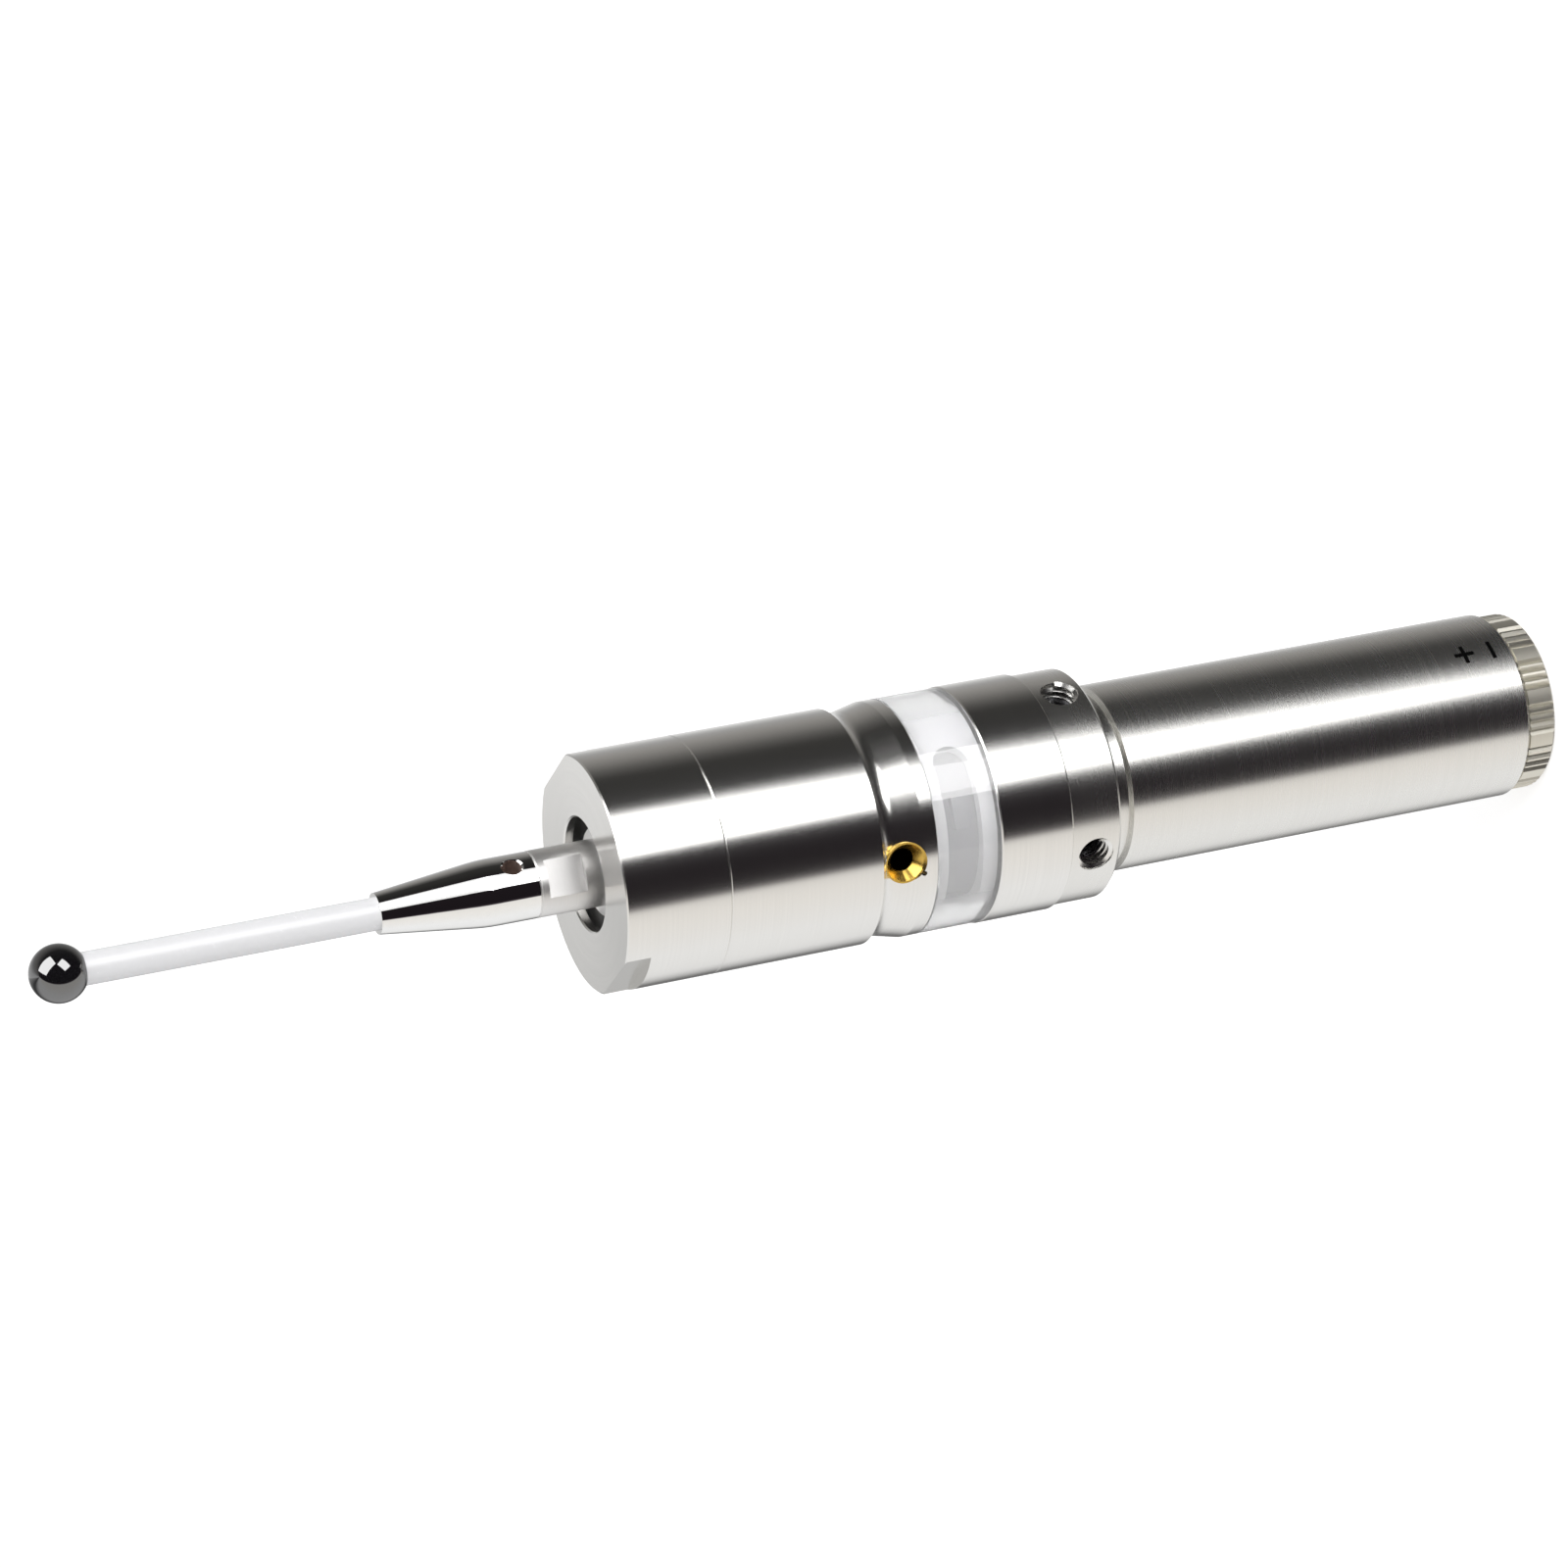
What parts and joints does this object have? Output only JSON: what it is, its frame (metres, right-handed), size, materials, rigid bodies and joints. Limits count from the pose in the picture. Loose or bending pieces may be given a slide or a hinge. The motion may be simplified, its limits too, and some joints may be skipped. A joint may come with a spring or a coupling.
{
  "type": "edge finder",
  "caption": "Round touch probe for finding workpiece edges: straight shank with screwed battery cap, clear light ring, waisted body with cable jack, and a ball stylus on a sprung seat.",
  "frame": {"origin": "centre of the battery cap's flat face, the lowest point of the part on its axis", "axes": "+Z along the tool's axis from the battery cap to the stylus ball; -Y is the side with the cable jack"},
  "size_m": [0.0252, 0.0252, 0.1668],
  "materials": {
    "body_steel": "ground and polished, plated",
    "shank_steel": "ground and polished",
    "cap_metal": "nickel plated, straight knurled in groups",
    "stylus_steel": "polished hard steel",
    "white_ceramic": "white alumina ceramic, ground",
    "black_ceramic": "black silicon nitride ceramic, polished",
    "clear_ring": "clear moulded plastic, bright outside",
    "white_plastic": "matt white moulding",
    "board": "flexible circuit board",
    "led": "grey diffusing lens",
    "gold": "gold flashed",
    "insulator": "black moulding",
    "contact_brass": "turned",
    "spring_steel": "spring wire",
    "hard_steel": "ground and hardened",
    "black_oxide": "black oxide",
    "seal_rubber": "soft black rubber",
    "cell_foil": "plain wrapped battery"
  },
  "bodies": {
    "shank_body": {"shank": "shank_steel", "battery_sleeve": "insulator", "battery_cell": "cell_foil", "contact_plug": "insulator", "plus_contact": "contact_brass", "contact_block": "insulator", "contact_pin": "contact_brass", "rear_head": "body_steel", "light_ring": "clear_ring", "led_carrier": "white_plastic", "led_board": "board", "housing": "body_steel", "jack_bush": "gold", "jack_insulator": "insulator", "jack_contact": "contact_brass", "spring_adjuster": "contact_brass", "front_ring": "body_steel", "seat_ring": "insulator", "seat_balls": "hard_steel", "led_1": "led", "led_2": "led", "led_3": "led", "led_4": "led"},
    "plunge_carriage": {"diaphragm": "seal_rubber"},
    "tilt_stage_1": {"main_spring": "spring_steel"},
    "tilt_stage_2": {"contact_spring": "spring_steel"},
    "stylus": {"tripod_hub": "insulator", "tripod_rod_1": "hard_steel", "tripod_rod_2": "hard_steel", "tripod_rod_3": "hard_steel", "stylus_mount": "stylus_steel", "stylus_holder": "stylus_steel", "stylus_stem": "white_ceramic", "stylus_ball": "black_ceramic"},
    "cap_slide": {"cap_spring": "spring_steel"},
    "cap": {"battery_cap": "cap_metal", "cap_seal": "seal_rubber"},
    "screw_1": {"adjusting_screw_1": "black_oxide"},
    "screw_2": {"adjusting_screw_2": "black_oxide"},
    "screw_3": {"adjusting_screw_3": "black_oxide"},
    "screw_4": {"adjusting_screw_4": "black_oxide"}
  },
  "joints": [
    {"name": "plunge", "type": "slide", "parent": "shank_body", "child": "plunge_carriage", "axis": [0, 0, -1], "range_m": [0, 0.003], "stiffness_N_per_m": 700, "springref_m": -0.008, "deforming": ["diaphragm", "main_spring", "contact_spring"]},
    {"name": "tilt_1", "type": "hinge", "parent": "plunge_carriage", "child": "tilt_stage_1", "pos_m": [-0.00303, -0.00175, 0.0964], "axis": [-0.5, 0.866, 0], "range_deg": [0, 8], "stiffness_Nm_per_rad": 0.1, "springref_deg": -28.65, "deforming": ["diaphragm", "main_spring", "contact_spring"]},
    {"name": "tilt_2", "type": "hinge", "parent": "tilt_stage_1", "child": "tilt_stage_2", "pos_m": [0.00303, -0.00175, 0.0964], "axis": [-0.5, -0.866, 0], "range_deg": [0, 8], "stiffness_Nm_per_rad": 0.1, "springref_deg": -28.65, "deforming": ["diaphragm", "main_spring", "contact_spring"]},
    {"name": "tilt_3", "type": "hinge", "parent": "tilt_stage_2", "child": "stylus", "pos_m": [0, 0.0035, 0.0964], "axis": [1, 0, 0], "range_deg": [0, 8], "stiffness_Nm_per_rad": 0.1, "springref_deg": -28.65, "deforming": ["diaphragm", "main_spring", "contact_spring"]},
    {"name": "cap_travel", "type": "slide", "parent": "shank_body", "child": "cap_slide", "axis": [0, 0, -1], "range_m": [0, 0.0055]},
    {"name": "cap_turn", "type": "hinge", "parent": "cap_slide", "child": "cap", "pos_m": [0, 0, 0], "axis": [0, 0, -1], "range_deg": [0, 1979]},
    {"name": "screw_turn_1", "type": "hinge", "parent": "shank_body", "child": "screw_1", "pos_m": [0.0051, 0.00629, 0.0561], "axis": [0.6293, 0.7771, 0], "range_deg": [0, 180]},
    {"name": "screw_turn_2", "type": "hinge", "parent": "shank_body", "child": "screw_2", "pos_m": [-0.00629, 0.0051, 0.0561], "axis": [-0.7771, 0.6293, 0], "range_deg": [0, 180]},
    {"name": "screw_turn_3", "type": "hinge", "parent": "shank_body", "child": "screw_3", "pos_m": [-0.0051, -0.00629, 0.0561], "axis": [-0.6293, -0.7771, 0], "range_deg": [0, 180]},
    {"name": "screw_turn_4", "type": "hinge", "parent": "shank_body", "child": "screw_4", "pos_m": [0.00629, -0.0051, 0.0561], "axis": [0.7771, -0.6293, 0], "range_deg": [0, 180]}
  ],
  "couplings": [
    {"joint": "cap_travel", "follows": "cap_turn", "m_per_rad": 0.00015915}
  ]
}
